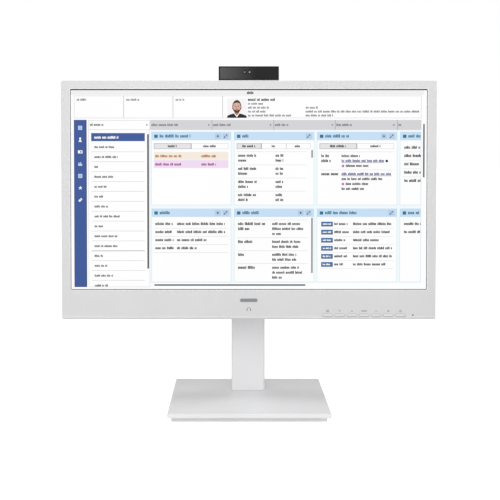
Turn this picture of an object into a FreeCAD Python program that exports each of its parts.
import FreeCAD, Part
import math
import os
import re

import Sketcher

# An all-in-one computer: a flat display housing with a pop-up camera, carried by a
# column stand that swivels, rises, tilts and pivots, on a flat rectangular base.
#
# Millimetres.  X runs to the viewer's right, Y away from the viewer, Z up.  The origin
# is on the desk, in the middle of the base.

os.makedirs("parts", exist_ok=True)
DOC = FreeCAD.newDocument("AllInOnePc")

# ---------------------------------------------------------------- driving dimensions

DIMENSIONS = {
    # Base: a cover over a steel plate, on a tray a little smaller all round.
    "base_w": 234.4, "base_d": 244, "base_corner": 3, "base_top": 13.2, "base_edge": 0.8,
    "tray_top": 7.2, "tray_inset": 5.9, "tray_floor": 3.2, "foot_height": 1.2,
    "plate_bottom": 6.6, "plate_top": 10.9, "cover_ceiling": 11.0, "wall": 2.2,
    "base_screw_x": 92, "base_screw_y": 98, "foot_x": 88, "foot_y": 104,
    # Swivel between base and column.
    "spindle_r": 15, "running_gap": 0.05, "bush_r": 18, "bush_flange_r": 19.8,
    "spindle_thread_r": 12, "swivel_nut_r": 21,
    # Column.
    "column_w": 52.3, "column_d": 45, "column_y": 54.5, "column_corner": 4,
    "shell_foot": 13.5, "column_foot": 14.1, "foot_plate_top": 18.1, "column_top": 372, "cap_height": 3,
    "slot_w": 30, "slot_bottom": 219, "slot_top": 360,
    "rail_w": 40, "rail_front": 56, "rail_web": 70, "rail_back": 72.3, "rail_side": 2.4,
    "rail_top": 366, "column_screw_x": 12, "column_screw_low": 60, "column_screw_high": 345,
    "clip_z": 112, "clip_h": 12,
    # Height carriage and tilt head, at the stored height.
    "head_z": 314.5, "carriage_front": 44, "carriage_back": 69.4, "carriage_half_w": 16.8,
    "carriage_half_h": 22, "coil_y": 60, "coil_r": 8.5, "arm_half_w": 13, "tilt_y": 14,
    "tilt_boss_r": 8, "tilt_shaft_r": 4, "ear_in": 15.2, "ear_out": 19.2,
    "yoke_front": -2, "yoke_back": 2, "pivot_r": 10, "pivot_nut_r": 15,
    # Display housing.
    "panel_w": 553.8, "panel_bottom": 138, "panel_top": 491, "panel_front": -54,
    "panel_corner": 2.5, "panel_edge": 0.8, "split_y": -42, "thin_back": -32,
    "bulge_back": -6, "skin": 1.8, "chamfer_z": 3, "chamfer_y": 2.6, "seam_gap": 0.35,
    "window_w": 527.3, "window_bottom": 181.9, "window_top": 478.8,
    "bulge_w": 330, "bulge_bottom": 214.5, "bulge_top": 389.5, "bulge_corner": 14,
    "mount_pitch": 100, "cover_screw_x": 152, "cover_screw_low": 240, "cover_screw_high": 370,
    "chassis_front": -45.8, "chassis_back": -44.6, "board_front": -32.1, "board_back": -30.5,
    "socket_back": -17, "socket_foot": 214.7, "socket_top": 232.5,
    "socket_panel_x": -27, "socket_panel_w": 200, "socket_panel_front": -31.8,
    "socket_panel_back": -12, "jack_y": -47, "jack_bore_r": 1.8,
    # Camera, stored raised.
    "camera_half_w": 44.7, "camera_front": -45, "camera_back": -35, "camera_bottom": 470,
    "camera_seam": 492.3, "camera_top": 513, "lens_x": -6.2, "lens_z": 504.3,
    "indicator_x": 0.5,
    # Control keys.
    "key_first_x": 116.8, "key_pitch": 18, "key_w": 14.7, "key_h": 3.9, "key_z": 144.35,
    "key_proud": 0.8, "key_gap": 0.2, "status_x": 243,
}

KEY_COUNT = 7
FIN_COUNT = 10
VENT_COUNT = 34
GRILLE_COUNT = 14
USB_PLACES = ("-61", "-42")
VIDEO_PLACES = ("42", "61")

sheet = DOC.addObject("Spreadsheet::Sheet", "dims")
for row, (alias, number) in enumerate(DIMENSIONS.items(), start=1):
    sheet.set("A%d" % row, alias)
    sheet.set("B%d" % row, str(number))
    sheet.setAlias("B%d" % row, alias)
DOC.recompute()

NAMES = re.compile(r"\b(%s)\b" % "|".join(DIMENSIONS))


def formula(expression):
    """An expression in plain dimension names, written for the document's sheet."""
    return NAMES.sub(r"dims.\1", str(expression))


def value(expression):
    """The present value of an expression, as a starting point for the sketcher."""
    return float(sheet.evalExpression(formula(expression)))


def bind(item, name, expression):
    item.setExpression(name, formula(expression))


# ---------------------------------------------------------------- sketch outlines
# Each outline is a function that draws itself into a sketch and ties it to the sheet.
# In a sketch across Z the two directions are X and Y; across Y, X and Z; across X, Y and Z.

def fix_point(sketch, curve, end, across, up):
    """Tie one point of a curve to its distances from the sketch's origin."""
    for kind, expression in (("DistanceX", across), ("DistanceY", up)):
        if expression is None:
            continue
        rule = Sketcher.Constraint(kind, -1, 1, curve, end, value(expression))
        number = sketch.addConstraint(rule)
        bind(sketch, "Constraints[%d]" % number, expression)


def line(start, finish):
    return Part.LineSegment(FreeCAD.Vector(*start, 0), FreeCAD.Vector(*finish, 0))


def polygon(points):
    def draw(sketch):
        corners = [(value(across), value(up)) for across, up in points]
        following = corners[1:] + corners[:1]
        first = [sketch.addGeometry(line(*pair)) for pair in zip(corners, following)][0]
        count = len(points)
        for index in range(count):
            after = (index + 1) % count
            sketch.addConstraint(Sketcher.Constraint("Coincident", first + index, 2, first + after, 1))
            fix_point(sketch, first + index, 1, *points[index])
    return draw


def rect(across, up, width, height):
    left, right = "%s - (%s)/2" % (across, width), "%s + (%s)/2" % (across, width)
    low, high = "%s - (%s)/2" % (up, height), "%s + (%s)/2" % (up, height)
    return polygon([(left, low), (right, low), (right, high), (left, high)])


def span(across, up):
    """A rectangle between two (low, high) pairs."""
    (left, right), (bottom, top) = across, up
    return polygon([(left, bottom), (right, bottom), (right, top), (left, top)])


def rounded(across, up, width, height, radius):
    """A rectangle with round corners."""
    def draw(sketch):
        centre_x, centre_y = value(across), value(up)
        half_w, half_h, corner = value(width) / 2, value(height) / 2, value(radius)
        left, right = centre_x - half_w, centre_x + half_w
        low, high = centre_y - half_h, centre_y + half_h
        sides = [line((left + corner, low), (right - corner, low)),
                 line((right, low + corner), (right, high - corner)),
                 line((right - corner, high), (left + corner, high)),
                 line((left, high - corner), (left, low + corner))]
        centres = [(right - corner, low + corner), (right - corner, high - corner),
                   (left + corner, high - corner), (left + corner, low + corner)]
        first = [sketch.addGeometry(side) for side in sides][0]
        for quarter, centre in enumerate(centres):
            circle = Part.Circle(FreeCAD.Vector(*centre, 0), FreeCAD.Vector(0, 0, 1), corner)
            start = math.radians(90 * quarter - 90)
            sketch.addGeometry(Part.ArcOfCircle(circle, start, start + math.pi / 2))
        for index in range(4):
            arc, after = first + 4 + index, first + (index + 1) % 4
            sketch.addConstraint(Sketcher.Constraint("Tangent", first + index, 2, arc, 1))
            sketch.addConstraint(Sketcher.Constraint("Tangent", arc, 2, after, 1))
            direction = "Vertical" if index % 2 else "Horizontal"
            sketch.addConstraint(Sketcher.Constraint(direction, first + index))
            if index:
                sketch.addConstraint(Sketcher.Constraint("Equal", first + 4, arc))
        size = sketch.addConstraint(Sketcher.Constraint("Radius", first + 4, corner))
        bind(sketch, "Constraints[%d]" % size, radius)
        fix_point(sketch, first, 1, None, "%s - (%s)/2" % (up, height))
        fix_point(sketch, first + 1, 1, "%s + (%s)/2" % (across, width), None)
        fix_point(sketch, first + 2, 1, None, "%s + (%s)/2" % (up, height))
        fix_point(sketch, first + 3, 1, "%s - (%s)/2" % (across, width), None)
    return draw


def disc(across, up, radius):
    def draw(sketch):
        centre = FreeCAD.Vector(value(across), value(up), 0)
        round_line = Part.Circle(centre, FreeCAD.Vector(0, 0, 1), value(radius))
        curve = sketch.addGeometry(round_line)
        size = sketch.addConstraint(Sketcher.Constraint("Radius", curve, value(radius)))
        bind(sketch, "Constraints[%d]" % size, radius)
        fix_point(sketch, curve, 3, across, up)
    return draw


def discs(places, radius):
    return [disc(across, up, radius) for across, up in places]


def four_corners(half_x, low_y, high_y):
    """Four places, mirrored left and right, at two heights."""
    return [(sign + half_x, level) for sign in ("-", "") for level in (low_y, high_y)]


# ---------------------------------------------------------------- sub-parts

PIECES = []
POCKETS = []
PLANES = {"x": "YZ_Plane", "y": "XZ_Plane", "z": "XY_Plane"}


class Piece:
    """One sub-part: a body of pads and pockets, each running from its start towards +axis."""

    def __init__(self, label):
        self.body = DOC.addObject("PartDesign::Body", label)
        self.body.Label = label
        self.body.AllowCompound = True
        self.steps = 0
        PIECES.append(self.body)

    def sketch(self, axis, start, outlines):
        self.steps += 1
        name = "%s_sketch_%d" % (self.body.Label, self.steps)
        sketch = self.body.newObject("Sketcher::SketchObject", name)
        planes = self.body.Origin.OriginFeatures
        plane = [item for item in planes if item.Role == PLANES[axis]][0]
        sketch.AttachmentSupport = [(plane, "")]
        sketch.MapMode = "FlatFace"
        # The plane across Y faces -Y, so its offset is counted the other way.
        bind(sketch, "AttachmentOffset.Base.z", "-(%s)" % start if axis == "y" else start)
        for outline in outlines:
            outline(sketch)
        return sketch

    def feature(self, kind, axis, start, length, outlines, backwards):
        sketch = self.sketch(axis, start, outlines)
        name = "%s_%s_%d" % (self.body.Label, kind.lower(), self.steps)
        feature = self.body.newObject("PartDesign::" + kind, name)
        feature.Profile = sketch
        feature.Reversed = backwards
        bind(feature, "Length", length)
        sketch.Visibility = False
        return feature

    def add(self, axis, start, end, *outlines):
        length = "(%s) - (%s)" % (end, start)
        self.feature("Pad", axis, start, length, outlines, axis == "y")
        return self

    def cut(self, axis, start, end, *outlines):
        length = "(%s) - (%s)" % (end, start)
        POCKETS.append(self.feature("Pocket", axis, start, length, outlines, axis != "y"))
        return self

    def repeat(self, sketch_direction, pitch, count):
        """Repeat the last pocket along one direction of its own sketch."""
        pocket = self.body.Tip
        DOC.recompute()
        pattern = self.body.newObject("PartDesign::LinearPattern", pocket.Name + "_row")
        pattern.Originals = [pocket]
        pattern.Direction = (pocket.Profile[0], [sketch_direction])
        pattern.Mode = "Spacing"
        bind(pattern, "Offset", pitch)
        pattern.Occurrences = count
        self.body.Tip = pattern
        return self

    def soften(self, radius, chosen):
        """Round the edges whose bounding boxes pass the chosen test."""
        DOC.recompute()
        last = self.body.Tip
        edges = ["Edge%d" % number for number, edge in enumerate(last.Shape.Edges, start=1)
                 if chosen(edge.BoundBox)]
        fillet = self.body.newObject("PartDesign::Fillet", last.Name + "_fillet")
        fillet.Base = (last, edges)
        bind(fillet, "Radius", radius)
        return self


def flat(low, high, level):
    """Whether an edge lies in the plane at a level."""
    return abs(low - level) < 0.01 and abs(high - level) < 0.01


def block(label, x_pair, y_pair, z_pair):
    """A plain rectangular sub-part between three (low, high) pairs."""
    box = DOC.addObject("Part::Box", label)
    box.Label = label
    sides = (("Length", "x", x_pair), ("Width", "y", y_pair), ("Height", "z", z_pair))
    for side, direction, (low, high) in sides:
        bind(box, side, "(%s) - (%s)" % (high, low))
        bind(box, "Placement.Base." + direction, low)
    PIECES.append(box)
    return box


# ---------------------------------------------------------------- base

def make_base():
    screws = four_corners("base_screw_x", "-base_screw_y", "base_screw_y")
    tray_w, tray_d = "(base_w - 2*tray_inset)", "(base_d - 2*tray_inset)"

    tray = Piece("base_tray")
    tray.add("z", "foot_height", "tray_top", rounded("0", "0", tray_w, tray_d, "base_corner - 0.5"))
    tray.cut("z", "tray_floor", "tray_top",
             rounded("0", "0", tray_w + " - 2*wall", tray_d + " - 2*wall", "base_corner - wall"))
    tray.add("z", "tray_floor", "plate_bottom", *discs(screws, "5"))
    tray.add("z", "tray_floor", "plate_bottom",
             disc("0", "column_y", "30"), disc("0", "column_y", "25"))
    tray.cut("z", "foot_height", "tray_floor", *discs(screws, "3.3"))
    tray.cut("z", "tray_floor", "plate_bottom", *discs(screws, "1.6"))

    feet = Piece("base_feet")
    places = [(side + "foot_x", level) for side in ("-", "") for level in ("-foot_y", "0", "foot_y")]
    feet.add("z", "0", "foot_height", *[rounded(x, y, "28", "10", "4.5") for x, y in places])

    plate = Piece("base_weight_plate")
    plate.add("z", "plate_bottom", "plate_top",
              rounded("0", "0", tray_w + " - 2*wall - 1", tray_d + " - 2*wall - 1", "2"))
    plate.cut("z", "plate_bottom", "plate_top",
              disc("0", "column_y", "bush_r + 0.02"), *discs(screws, "1.6"))

    cover = Piece("base_cover")
    cover.add("z", "tray_top", "base_top", rounded("0", "0", "base_w", "base_d", "base_corner"))
    top = value("base_top")
    cover.soften("base_edge", lambda box: flat(box.ZMin, box.ZMax, top))
    cover.cut("z", "tray_top", "cover_ceiling",
              rounded("0", "0", "base_w - 2*wall", "base_d - 2*wall", "base_corner - wall"))
    cover.cut("z", "cover_ceiling", "base_top", disc("0", "column_y", "bush_r + 1"))
    cover.cut("z", "cover_ceiling", "cover_ceiling + 1.5", *discs(screws, "1.55"))

    fixings = Piece("base_screws")
    fixings.add("z", "foot_height + 0.3", "tray_floor - 0.05", *discs(screws, "3"))
    fixings.add("z", "tray_floor - 0.05", "cover_ceiling + 1.4", *discs(screws, "1.5"))

    bush = Piece("swivel_bush")
    bush.add("z", "plate_bottom", "base_top", disc("0", "column_y", "bush_r"))
    bush.add("z", "base_top", "column_foot - 0.1", disc("0", "column_y", "bush_flange_r"))
    bush.cut("z", "plate_bottom", "column_foot", disc("0", "column_y", "spindle_r + running_gap"))


# ---------------------------------------------------------------- column

def column_outline(shrink, corner):
    return rounded("0", "column_y", "column_w - 2*%s" % shrink, "column_d - 2*%s" % shrink, corner)


def make_column():
    spindle = Piece("swivel_spindle")
    spindle.add("z", "column_foot", "foot_plate_top", rect("0", "column_y", "45", "39"))
    spindle.add("z", "plate_bottom - 0.2", "column_foot", disc("0", "column_y", "spindle_r"))
    spindle.add("z", "tray_floor + 0.8", "plate_bottom - 0.2", disc("0", "column_y", "spindle_thread_r"))

    nut = Piece("swivel_nut")
    nut.add("z", "tray_floor + 0.8", "plate_bottom - 0.3",
            disc("0", "column_y", "swivel_nut_r"), disc("0", "column_y", "spindle_thread_r + 0.02"))

    screws = four_corners("column_screw_x", "column_screw_low", "column_screw_high")
    rail = Piece("column_rail")
    inner, outer = "(rail_w/2 - rail_side)", "rail_w/2"
    rail.add("z", "foot_plate_top", "rail_top", polygon([
        ("-" + outer, "rail_front"), ("-" + inner, "rail_front"), ("-" + inner, "rail_web"),
        (inner, "rail_web"), (inner, "rail_front"), (outer, "rail_front"),
        (outer, "rail_back"), ("-" + outer, "rail_back")]))
    rail.cut("y", "rail_web", "rail_back", *discs(screws, "1.55"))

    shell_top = "column_top - cap_height"
    across = ("-column_w/2 - 1", "column_w/2 + 1")
    front = Piece("column_front_cover")
    front.add("z", "shell_foot", shell_top, column_outline("0", "column_corner"))
    front.cut("z", "shell_foot", shell_top, column_outline("wall", "column_corner - wall"))
    front.cut("z", "shell_foot", shell_top,
              span(across, ("column_y", "column_y + column_d/2 + 1")))
    front.cut("y", "column_y - column_d/2", "column_y - column_d/2 + wall",
              rounded("0", "(slot_bottom + slot_top)/2", "slot_w", "slot_top - slot_bottom", "3"))

    rear = Piece("column_rear_cover")
    rear_face = "(column_y + column_d/2)"
    rear.add("z", "shell_foot", shell_top, column_outline("0", "column_corner"))
    rear.cut("z", "shell_foot", shell_top, column_outline("wall", "column_corner - wall"))
    rear.cut("z", "shell_foot", shell_top,
             span(across, ("column_y - column_d/2 - 1", "column_y + seam_gap")))
    rear.add("y", "rail_back + 0.05", rear_face + " - wall/2", *discs(screws, "4"))
    rear.cut("y", "rail_back", rear_face, *discs(screws, "1.6"))
    rear.cut("y", rear_face + " - 1.2", rear_face, *discs(screws, "3.1"))

    fixings = Piece("column_screws")
    fixings.add("y", "rail_web + 0.2", rear_face + " - 1.2", *discs(screws, "1.5"))
    fixings.add("y", rear_face + " - 1.2", rear_face + " - 0.2", *discs(screws, "2.9"))

    cap = Piece("column_cap")
    cap.add("z", shell_top + " + 0.1", "column_top", column_outline("0", "column_corner"))
    top = value("column_top")
    cap.soften("1", lambda box: flat(box.ZMin, box.ZMax, top))
    cap.add("z", shell_top + " - 2.5", shell_top + " + 0.1", column_outline("(wall + 0.2)", "1.5"))
    cap.cut("z", shell_top + " - 2.5", shell_top + " + 0.1", column_outline("(wall + 2)", "1"))

    clip = Piece("cable_clip")
    loop_y = rear_face + " + 8.5"
    clip.add("z", "clip_z", "clip_z + clip_h", rounded("0", loop_y, "34", "17", "6"))
    clip.cut("z", "clip_z", "clip_z + clip_h", rounded("0", loop_y, "29", "12", "4"))
    clip.cut("z", "clip_z", "clip_z + clip_h",
             span(("-4.5", "4.5"), (rear_face + " + 13", rear_face + " + 18")))

    block("lift_spring_strip", ("-8", "8"), ("rail_web - 0.4", "rail_web - 0.05"),
          ("head_z - 10", "rail_top - 4"))


# ---------------------------------------------------------------- height carriage

def make_lift_head():
    low, high = "head_z - carriage_half_h", "head_z + carriage_half_h"
    carriage = Piece("lift_carriage")
    carriage.add("z", low, high, span(("-carriage_half_w", "carriage_half_w"),
                                      ("carriage_front", "carriage_back")))
    carriage.cut("x", "-12.5", "12.5",
                 span(("coil_y - 9.5", "carriage_back"), ("head_z - 9.5", "head_z + 9.5")))
    carriage.cut("x", "-15", "15", disc("coil_y", "head_z", "2.05"))

    pads = Piece("guide_pads")
    for side in ("-", ""):
        inner, outer = side + "carriage_half_w", side + "(carriage_half_w + 0.6)"
        edges = (outer, inner) if side else (inner, outer)
        for level in ("head_z - 18", "head_z + 10"):
            pads.add("z", level, level + " + 8", span(edges, ("58", "carriage_back - 0.4")))

    coil = Piece("lift_spring_coil")
    coil.add("x", "-11", "11", disc("coil_y", "head_z", "coil_r"))
    coil.add("x", "-14.5", "14.5", disc("coil_y", "head_z", "2"))

    arm = Piece("head_arm")
    arm.add("x", "-arm_half_w", "arm_half_w",
            span(("tilt_y", "carriage_front"), ("head_z - 7", "head_z + 7")))
    arm.add("x", "-arm_half_w", "arm_half_w", disc("tilt_y", "head_z", "tilt_boss_r"))
    arm.add("y", "carriage_front - 4", "carriage_front", rounded("0", "head_z", "27", "27", "3"))
    arm.cut("x", "-arm_half_w", "arm_half_w", disc("tilt_y", "head_z", "tilt_shaft_r + 0.02"))

    shroud = Piece("head_shroud")
    shroud.add("y", "23.5", "31", rounded("0", "head_z", "42", "42", "8"))
    shroud.soften("1.5", lambda box: flat(box.YMin, box.YMax, 23.5))
    shroud.cut("y", "23.5", "31", rect("0", "head_z", "2*arm_half_w + 0.6", "14.6"))

    shaft = Piece("tilt_shaft")
    shaft.add("x", "-ear_out - 2", "ear_out + 2", disc("tilt_y", "head_z", "tilt_shaft_r"))
    shaft.add("x", "ear_out + 0.3", "ear_out + 4", disc("tilt_y", "head_z", "6.5"))
    shaft.add("x", "-ear_out - 4", "-ear_out - 0.3", disc("tilt_y", "head_z", "6.5"))


# ---------------------------------------------------------------- tilt head

def make_tilt_head():
    yoke = Piece("tilt_yoke")
    yoke.add("y", "yoke_front", "yoke_back", rounded("0", "head_z", "2*ear_out", "36", "4"))
    for low, high in (("-ear_out", "-ear_in"), ("ear_in", "ear_out")):
        yoke.add("x", low, high, span(("yoke_front", "tilt_y"), ("head_z - 8", "head_z + 8")))
        yoke.add("x", low, high, disc("tilt_y", "head_z", "tilt_boss_r"))
    yoke.cut("x", "-ear_out", "ear_out", disc("tilt_y", "head_z", "tilt_shaft_r + running_gap"))
    yoke.cut("y", "yoke_front", "yoke_back", disc("0", "head_z", "pivot_r - 2"))

    washers = Piece("friction_washers")
    for low, high in (("-ear_in + 0.1", "-arm_half_w - 0.1"), ("arm_half_w + 0.1", "ear_in - 0.1")):
        washers.add("x", low, high, disc("tilt_y", "head_z", "tilt_boss_r"),
                    disc("tilt_y", "head_z", "tilt_shaft_r + 0.1"))
    washers.add("y", "yoke_front - 0.9", "yoke_front", disc("0", "head_z", "17"),
                disc("0", "head_z", "pivot_r + 0.2"))

    spindle = Piece("pivot_spindle")
    spindle.add("y", "-9", "yoke_front", disc("0", "head_z", "pivot_r"))
    spindle.add("y", "yoke_front", "yoke_back", disc("0", "head_z", "pivot_r - 2.02"))
    spindle.add("y", "-13", "-9", disc("0", "head_z", "6"))

    nut = Piece("pivot_nut")
    nut.add("y", "-13", "-9.05", disc("0", "head_z", "pivot_nut_r"), disc("0", "head_z", "6.02"))


# ---------------------------------------------------------------- display housing

def mount_places():
    return four_corners("mount_pitch/2", "head_z - mount_pitch/2", "head_z + mount_pitch/2")


def cover_screw_places():
    return four_corners("cover_screw_x", "cover_screw_low", "cover_screw_high")


def panel_outline(shrink, corner):
    return rounded("0", "(panel_bottom + panel_top)/2", "panel_w - 2*%s" % shrink,
                   "panel_top - panel_bottom - 2*%s" % shrink, corner)


def bulge_outline(shrink, corner):
    return rounded("0", "(bulge_bottom + bulge_top)/2", "bulge_w - 2*%s" % shrink,
                   "bulge_top - bulge_bottom - 2*%s" % shrink, corner)


def window_outline(grow, corner):
    return rounded("0", "(window_bottom + window_top)/2", "window_w + 2*%s" % grow,
                   "window_top - window_bottom + 2*%s" % grow, corner)


def socket_panel_outline(grow):
    half = "socket_panel_w/2 + %s" % grow
    return span(("socket_panel_x - (%s)" % half, "socket_panel_x + " + half),
                ("socket_panel_front - " + grow, "socket_panel_back + " + grow))


def camera_slot():
    return span(("-camera_half_w - 0.4", "camera_half_w + 0.4"),
                ("camera_front - 0.3", "camera_back + 0.3"))


def key_centre(number):
    return "(key_first_x + %d*key_pitch)" % number


def make_bezel():
    bezel = Piece("front_bezel")
    bezel.add("y", "panel_front", "split_y", panel_outline("0", "panel_corner"))
    front = value("panel_front")
    bezel.soften("panel_edge", lambda box: flat(box.YMin, box.YMax, front))
    bezel.cut("y", "panel_front + skin", "split_y", panel_outline("skin", "panel_corner - 1"))
    bezel.cut("y", "panel_front", "panel_front + skin", window_outline("0", "1.5"))
    bezel.cut("x", "-panel_w/2 - 1", "panel_w/2 + 1", polygon([
        ("panel_front - 1", "panel_bottom - 1"), ("panel_front + chamfer_y", "panel_bottom - 1"),
        ("panel_front + chamfer_y", "panel_bottom"), ("panel_front", "panel_bottom + chamfer_z"),
        ("panel_front - 1", "panel_bottom + chamfer_z")]))
    openings = [rounded(key_centre(number), "key_z", "key_w + 2*key_gap", "key_h + 2*key_gap", "1.9")
                for number in range(KEY_COUNT)]
    bezel.cut("y", "panel_front", "panel_front + skin", *openings)
    bezel.cut("y", "panel_front", "panel_front + skin", disc("status_x", "key_z", "1.1"))
    bezel.cut("z", "panel_bottom", "panel_bottom + skin", disc("0", "jack_y", "2.7"))
    bezel.cut("z", "panel_top - skin", "panel_top", camera_slot())


def make_rear_cover():
    rear = Piece("rear_cover")
    rear.add("y", "split_y + seam_gap", "thin_back", panel_outline("0", "panel_corner"))
    rear.add("y", "thin_back", "bulge_back", bulge_outline("0", "bulge_corner"))
    back, thin = value("bulge_back"), value("thin_back")
    outer_x = value("panel_w") / 2 - 5
    rear.soften("6", lambda box: flat(box.YMin, box.YMax, back))
    rear.soften("2", lambda box: flat(box.YMin, box.YMax, thin) and
                (box.XMax > outer_x or box.XMin < -outer_x or box.XLength > 2 * outer_x))
    rear.cut("y", "split_y", "thin_back - wall", panel_outline("skin", "panel_corner - 1.5"))
    rear.cut("y", "thin_back - wall", "bulge_back - wall", bulge_outline("wall", "bulge_corner - wall"))
    rear.cut("y", "bulge_back - wall", "bulge_back", disc("0", "head_z", "18"),
             *discs(mount_places(), "2.2"), *discs(cover_screw_places(), "1.7"))
    rear.cut("y", "bulge_back - 1.3", "bulge_back", *discs(cover_screw_places(), "3.2"))
    rear.cut("z", "panel_top - skin", "panel_top", camera_slot())
    # One opening in the floor of the raised housing, for the socket panel.
    rear.cut("z", "bulge_bottom", "bulge_bottom + wall", socket_panel_outline("0.15"))
    # Lock slot at the rear of the thin part.
    rear.cut("y", "thin_back - wall", "thin_back", rounded("232", "panel_bottom + 42", "7", "3", "1.2"))
    # Two rows of air vents, the warm air's above and the cool air's below.
    for level in ("head_z + 62", "head_z - 74"):
        rear.cut("y", "bulge_back - wall", "bulge_back", rounded("-123.75", level, "3.2", "9", "1.5"))
        rear.repeat("H_Axis", "7.5", VENT_COUNT)
    # Speaker grilles under the housing.
    rear.cut("z", "panel_bottom", "panel_bottom + skin", rounded("-216", "-37", "3", "6", "1.4"))
    rear.repeat("H_Axis", "6", GRILLE_COUNT)
    rear.cut("z", "panel_bottom", "panel_bottom + skin", rounded("138", "-37", "3", "6", "1.4"))
    rear.repeat("H_Axis", "6", GRILLE_COUNT)


def make_screen():
    cell = Piece("lcd_cell")
    cell.add("y", "panel_front + skin + 0.1", "panel_front + skin + 1.7", window_outline("2", "1"))
    guide = Piece("light_guide")
    guide.add("y", "panel_front + skin + 1.9", "panel_front + skin + 4.9", window_outline("1.5", "1"))
    tray = Piece("backlight_tray")
    tray.add("y", "panel_front + skin + 0.6", "chassis_front - 0.1", window_outline("3.2", "2"))
    tray.cut("y", "panel_front + skin + 0.6", "chassis_front - 1.1", window_outline("2.2", "1"))

    chassis = Piece("display_chassis")
    chassis.add("y", "chassis_front", "chassis_back", span(("-250", "250"), ("190", "440")))
    chassis.add("y", "chassis_back", "bulge_back - wall - 0.1",
                *discs(mount_places() + cover_screw_places(), "5"))
    chassis.add("y", "chassis_back", "board_front",
                *discs(four_corners("128", "232", "376"), "3.5"))
    chassis.cut("y", "-24", "bulge_back - wall", *discs(mount_places(), "2.05"))
    chassis.cut("y", "-24", "bulge_back - wall", *discs(cover_screw_places(), "1.55"))


def make_electronics():
    board = Piece("main_board")
    board.add("y", "board_front", "board_back", span(("-140", "140"), ("222", "382")))
    board.cut("y", "board_front", "board_back", *discs(mount_places(), "5.6"))
    board.add("y", "board_back", "board_back + 1.1", rect("-90", "head_z + 22", "30", "30"),
              rect("10", "head_z + 6", "18", "18"), rect("20", "250", "12", "12"),
              rect("-30", "340", "24", "14"), rect("105", "285", "10", "10"))
    board.add("y", "board_back", "board_back + 4", rect("103", "332", "70", "6"),
              rect("66", "302", "6", "24"))

    sink = Piece("heat_sink")
    sink.add("y", "board_back + 1.2", "board_back + 4", rect("-95", "head_z + 22", "66", "66"))
    fins = [rect("-95 + %d*6.6" % (number - FIN_COUNT // 2) + " + 3.3", "head_z + 22", "1.4", "66")
            for number in range(FIN_COUNT)]
    sink.add("y", "board_back + 4", "-14", *fins)

    memory = Piece("memory_module")
    memory.add("y", "board_back + 4.2", "board_back + 5.4", rect("103", "347", "67.6", "30"))
    memory.add("y", "board_back + 5.4", "board_back + 6.6",
               *[rect("103 + %d*8" % step, "350", "12", "10") for step in (-3, -1, 1, 3)])
    storage = Piece("storage_module")
    storage.add("y", "board_back + 4.2", "board_back + 5", rect("96", "302", "60", "22"))
    storage.add("y", "board_back + 5", "board_back + 6.4", rect("86", "302", "14", "18"),
                rect("110", "302", "18", "14"))

    speakers = Piece("speakers")
    for centre in ("-177", "177"):
        speakers.add("z", "152", "176", rounded(centre, "-42.5", "84", "14", "3"))
        speakers.add("z", "149.5", "152", rounded(centre, "-42.5", "60", "12", "5"))
        speakers.cut("z", "149.5", "151", rounded(centre, "-42.5", "54", "8.5", "4"))

    strip = Piece("key_board")
    middle = key_centre((KEY_COUNT - 1) // 2)
    strip.add("y", "-48.4", "-46.8", rect(middle, "key_z + 0.6", "132", "8"))
    strip.add("y", "-50", "-48.4", *[rect(key_centre(number), "key_z", "4.5", "3.5")
                                      for number in range(KEY_COUNT)])
    status = Piece("status_lens")
    status.add("y", "panel_front - 0.1", "panel_front + skin + 1.5", disc("status_x", "key_z", "1"))
    status.add("y", "panel_front + skin + 0.1", "panel_front + skin + 1.5",
               disc("status_x", "key_z", "2.2"))


def make_sockets():
    jack = Piece("headphone_jack")
    jack.add("z", "panel_bottom + 0.2", "panel_bottom + 2.2", disc("0", "jack_y", "2.6"))
    jack.add("z", "panel_bottom + 2.2", "panel_bottom + 17", rounded("0", "jack_y", "9", "6.6", "0.8"))
    jack.cut("z", "panel_bottom + 0.2", "panel_bottom + 14.2", disc("0", "jack_y", "jack_bore_r"))

    low, high = "socket_foot", "socket_top"
    middle = "(board_back + socket_back)/2"
    inlet = Piece("power_inlet")
    inlet.add("z", low, high, disc("-118", middle, "5"))
    inlet.cut("z", low, low + " + 10", disc("-118", middle, "3.2"))
    inlet.add("z", low + " + 1", low + " + 10", disc("-118", middle, "1.2"))

    network = Piece("network_socket")
    network.add("z", low, high, rect("-90", middle, "16", "13.2"))
    network.cut("z", low, low + " + 13", rect("-90", middle, "11.8", "8.4"))

    usb = Piece("usb_sockets")
    video = Piece("video_sockets")
    for centre in USB_PLACES:
        usb.add("z", low, high, rect(centre, middle, "15.6", "13.2"))
        for level in ("-3.2", "3.2"):
            usb.cut("z", low, low + " + 12", rect(centre, middle + " + " + level, "12.6", "4.6"))
        for level in ("-3.2", "3.2"):
            usb.add("z", low + " + 1", low + " + 12", rect(centre, middle + " + " + level, "10.6", "1.8"))
    for centre in VIDEO_PLACES:
        video.add("z", low, high, rect(centre, middle, "17", "7.4"))
        video.cut("z", low, low + " + 12", rect(centre, middle, "15", "5.2"))
        video.add("z", low + " + 1", low + " + 12", rect(centre, middle, "12.4", "1.8"))

    panel = Piece("socket_panel")
    panel.add("z", "bulge_bottom + 0.5", "bulge_bottom + wall + 0.9", socket_panel_outline("0"))
    panel.add("z", "bulge_bottom + wall + 0.1", "bulge_bottom + wall + 0.9",
              span(("socket_panel_x - socket_panel_w/2 - 2.5", "socket_panel_x + socket_panel_w/2 + 2.5"),
                   ("socket_panel_front", "socket_panel_back + 1.5")))
    holes = [disc("-118", middle, "5.25"), rect("-90", middle, "16.5", "13.7")]
    holes += [rect(centre, middle, "16.1", "13.7") for centre in USB_PLACES]
    holes += [rect(centre, middle, "17.5", "7.9") for centre in VIDEO_PLACES]
    panel.cut("z", "bulge_bottom + 0.5", "bulge_bottom + wall + 0.9", *holes)


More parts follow.
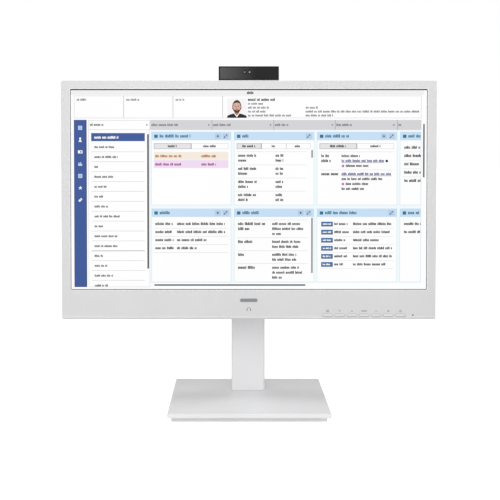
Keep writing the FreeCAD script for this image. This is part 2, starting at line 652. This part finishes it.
def make_display_fixings():
    plate = Piece("pivot_plate")
    plate.add("y", "bulge_back", "bulge_back + 3", rounded("0", "head_z", "116", "116", "8"))
    plate.cut("y", "bulge_back", "bulge_back + 3", disc("0", "head_z", "pivot_r + running_gap"),
              *discs(mount_places(), "2.1"))
    screws = Piece("mount_screws")
    screws.add("y", "-19", "bulge_back + 3", *discs(mount_places(), "2"))
    screws.add("y", "bulge_back + 3", "bulge_back + 5.2", *discs(mount_places(), "3.8"))
    fixings = Piece("cover_screws")
    fixings.add("y", "-18", "bulge_back - 1.3", *discs(cover_screw_places(), "1.5"))
    fixings.add("y", "bulge_back - 1.3", "bulge_back - 0.2", *discs(cover_screw_places(), "3"))


# ---------------------------------------------------------------- camera

def make_camera():
    guide = Piece("camera_guide")
    for low, high in (("-camera_half_w - 4", "-camera_half_w - 0.3"),
                      ("camera_half_w + 0.3", "camera_half_w + 4")):
        guide.add("z", "446", "panel_top - skin - 0.2",
                  span((low, high), ("camera_front - 0.2", "camera_back + 0.4")))
    guide.add("z", "443", "446", span(("-camera_half_w - 4", "camera_half_w + 4"),
                                      ("camera_front - 0.2", "camera_back + 0.4")))

    width = ("-camera_half_w", "camera_half_w")
    carrier = Piece("camera_carrier")
    carrier.add("z", "camera_bottom", "camera_seam", span(width, ("camera_front", "camera_back")))
    carrier.cut("z", "camera_bottom", "camera_seam - 1.5",
                span(("-camera_half_w + 3", "camera_half_w - 3"), ("camera_front + 2", "camera_back - 2")))

    housing = Piece("camera_housing")
    centre_z, height = "(camera_seam + camera_top)/2", "(camera_top - camera_seam)"
    housing.add("z", "camera_seam", "camera_top", rounded("0", "(camera_front + camera_back)/2",
                "2*camera_half_w", "camera_back - camera_front", "1.5"))
    top = value("camera_top")
    housing.soften("1", lambda box: flat(box.ZMin, box.ZMax, top))
    housing.cut("y", "camera_front", "camera_front + 0.8",
                rounded("0", centre_z, "2*camera_half_w - 4", height + " - 3.6", "1.5"))
    housing.cut("y", "camera_front + 0.8", "camera_back - 1.8",
                rect("0", centre_z, "2*camera_half_w - 12", height + " - 7"))

    window = Piece("camera_window")
    window.add("y", "camera_front + 0.1", "camera_front + 0.8",
               rounded("0", centre_z, "2*camera_half_w - 4.3", height + " - 3.9", "1.4"))
    window.cut("y", "camera_front + 0.1", "camera_front + 0.8", disc("lens_x", "lens_z", "2.1"),
               disc("indicator_x", "lens_z", "0.8"))

    lens = Piece("camera_lens")
    lens.add("y", "camera_front + 0.3", "camera_front + 3.2", disc("lens_x", "lens_z", "2"))
    lens.add("y", "camera_front + 1", "camera_front + 5.4", disc("lens_x", "lens_z", "3.2"))
    board = Piece("camera_board")
    board.add("y", "camera_front + 5.5", "camera_front + 6.5", rect("0", "lens_z", "60", "9"))
    board.add("y", "camera_front + 0.3", "camera_front + 5.5", disc("indicator_x", "lens_z", "0.7"))


# ---------------------------------------------------------------- control keys

def make_keys():
    for number in range(KEY_COUNT):
        key = Piece("key_%d" % (number + 1))
        key.add("y", "panel_front - key_proud", "panel_front + skin + 0.1",
                rounded("0", "0", "key_w", "key_h", "1.8"))
        front = value("panel_front - key_proud")
        key.soften("0.5", lambda box: flat(box.YMin, box.YMax, front))
        key.add("y", "panel_front + skin + 0.1", "panel_front + skin + 1",
                rounded("0", "0", "key_w + 1.4", "key_h + 1.2", "1.8"))
        bind(key.body, "Placement.Base.x", key_centre(number))
        bind(key.body, "Placement.Base.z", "key_z")


def check_and_write():
    DOC.recompute()
    for item in DOC.Objects:
        if "Invalid" in item.State or "Error" in item.State:
            raise RuntimeError("%s is %s" % (item.Label, item.State))
    for pocket in POCKETS:
        removed = pocket.BaseFeature.Shape.Volume - pocket.Shape.Volume
        if removed < 0.1:
            raise RuntimeError("%s cuts nothing" % pocket.Label)
    for piece in PIECES:
        if piece.Shape.isNull() or not piece.Shape.isValid():
            raise RuntimeError("%s has no valid shape" % piece.Label)
    for piece in PIECES:
        piece.Shape.exportStep("parts/%s.step" % piece.Label)
        box = piece.Shape.BoundBox
        print("%-20s %2d solids %10.1f mm3  x %.1f..%.1f  y %.1f..%.1f  z %.1f..%.1f" % (
            piece.Label, len(piece.Shape.Solids), piece.Shape.Volume,
            box.XMin, box.XMax, box.YMin, box.YMax, box.ZMin, box.ZMax))


make_base()
make_column()
make_lift_head()
make_tilt_head()
make_bezel()
make_rear_cover()
make_screen()
make_electronics()
make_sockets()
make_display_fixings()
make_camera()
make_keys()
check_and_write()
